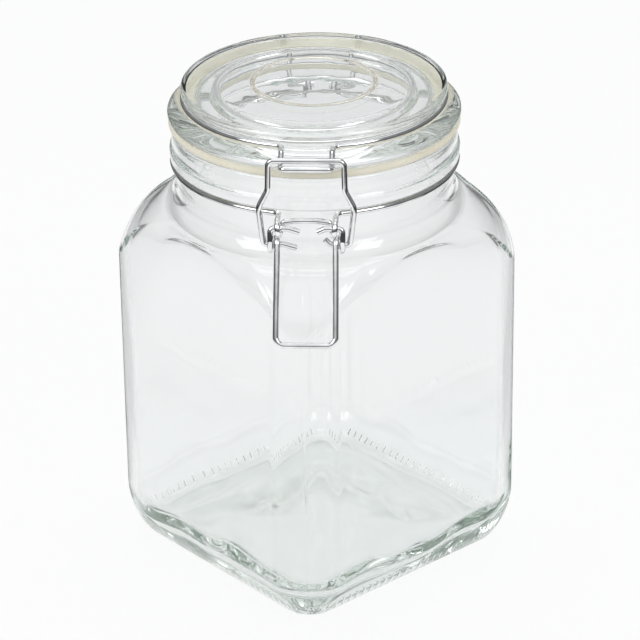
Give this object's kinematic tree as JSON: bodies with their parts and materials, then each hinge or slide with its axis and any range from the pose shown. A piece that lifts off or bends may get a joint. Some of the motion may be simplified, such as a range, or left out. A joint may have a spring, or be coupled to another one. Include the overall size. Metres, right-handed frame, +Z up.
{
  "type": "clip top glass storage jar",
  "caption": "Square glass storage jar with a round shoulder, a glass lid on a rubber gasket, and a wire clasp and hinge.",
  "frame": {"origin": "middle of the resting face under the base, on the mouth's axis", "axes": "+Z up through the mouth, -Y towards the clasp, +Y towards the lid's hinge"},
  "size_m": [0.135, 0.1388, 0.1714],
  "materials": {
    "glass": "clear soda-lime glass with a faint grey-green tint",
    "gasket": "matt beige rubber",
    "wire": "bright drawn steel wire"
  },
  "bodies": {
    "jar": {"jar_body": "glass", "neck_wire": "wire"},
    "lid": {"lid_glass": "glass", "gasket": "gasket", "lid_wire": "wire"},
    "lever": {"lever": "wire"},
    "bail": {"bail": "wire"}
  },
  "joints": [
    {"name": "lid_hinge", "type": "hinge", "parent": "jar", "child": "lid", "pos_m": [0, 0.0519, 0.14625], "axis": [-1, 0, 0], "range_deg": [0, 105]},
    {"name": "lever_pivot", "type": "hinge", "parent": "jar", "child": "lever", "pos_m": [0, -0.0563, 0.1431], "axis": [-1, 0, 0], "range_deg": [0, 140]},
    {"name": "bail_pivot", "type": "hinge", "parent": "lever", "child": "bail", "pos_m": [0, -0.055, 0.1369], "axis": [-1, 0, 0], "range_deg": [-136, 0]}
  ],
  "couplings": [
    {"joint": "bail_pivot", "follows": "lever_pivot", "ratio": -0.97}
  ]
}
